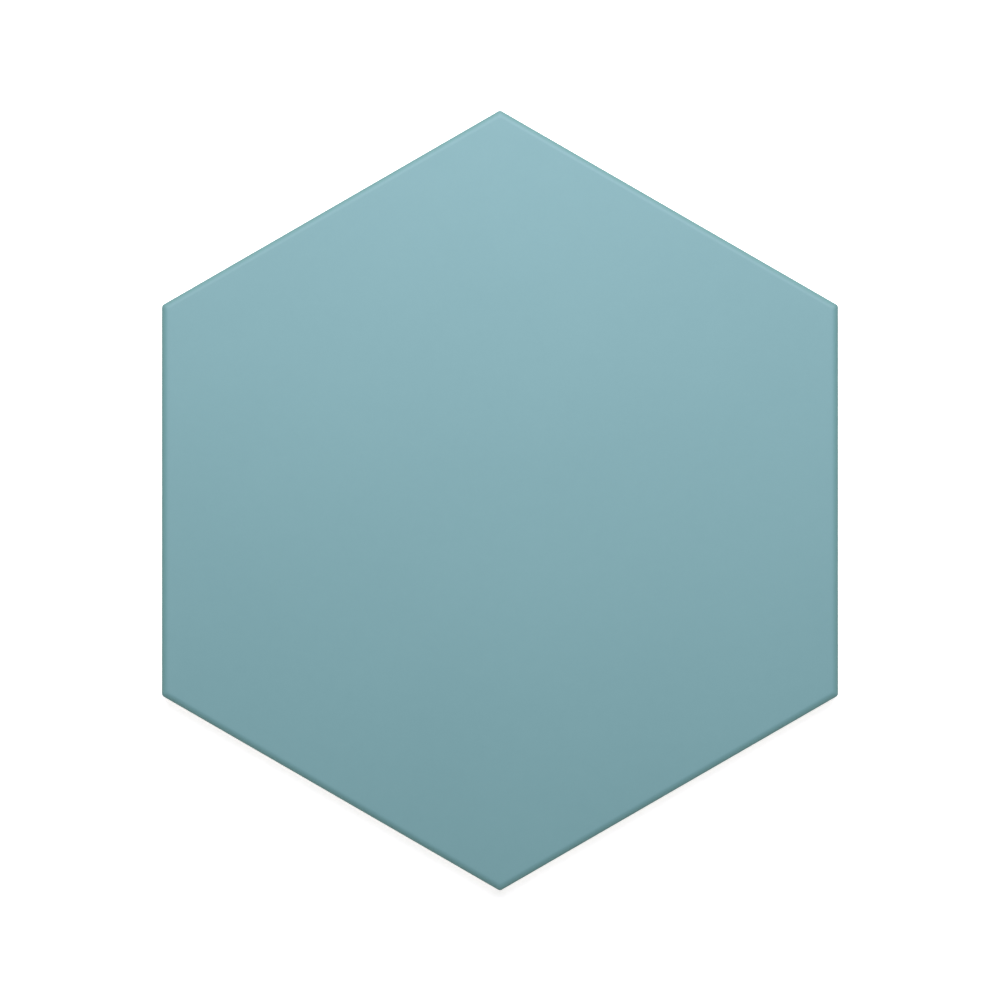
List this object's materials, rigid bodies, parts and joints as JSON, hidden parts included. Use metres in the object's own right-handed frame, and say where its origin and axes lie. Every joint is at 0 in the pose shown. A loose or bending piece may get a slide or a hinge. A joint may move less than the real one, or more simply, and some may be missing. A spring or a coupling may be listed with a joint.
{
  "type": "hexagon floor tile",
  "caption": "Regular hexagon floor tile with a flat matt teal glazed face, softly rounded edges and a keyed back.",
  "frame": {"origin": "middle of the bed, on the plane the tile is laid on", "axes": "+Z out of the glazed face, +Y towards a corner, +X square out of a side"},
  "size_m": [0.2, 0.2306, 0.009],
  "materials": {
    "matt_teal_glaze": "matte"
  },
  "bodies": {
    "root": {"hexagon_tile": "matt_teal_glaze"}
  },
  "joints": []
}
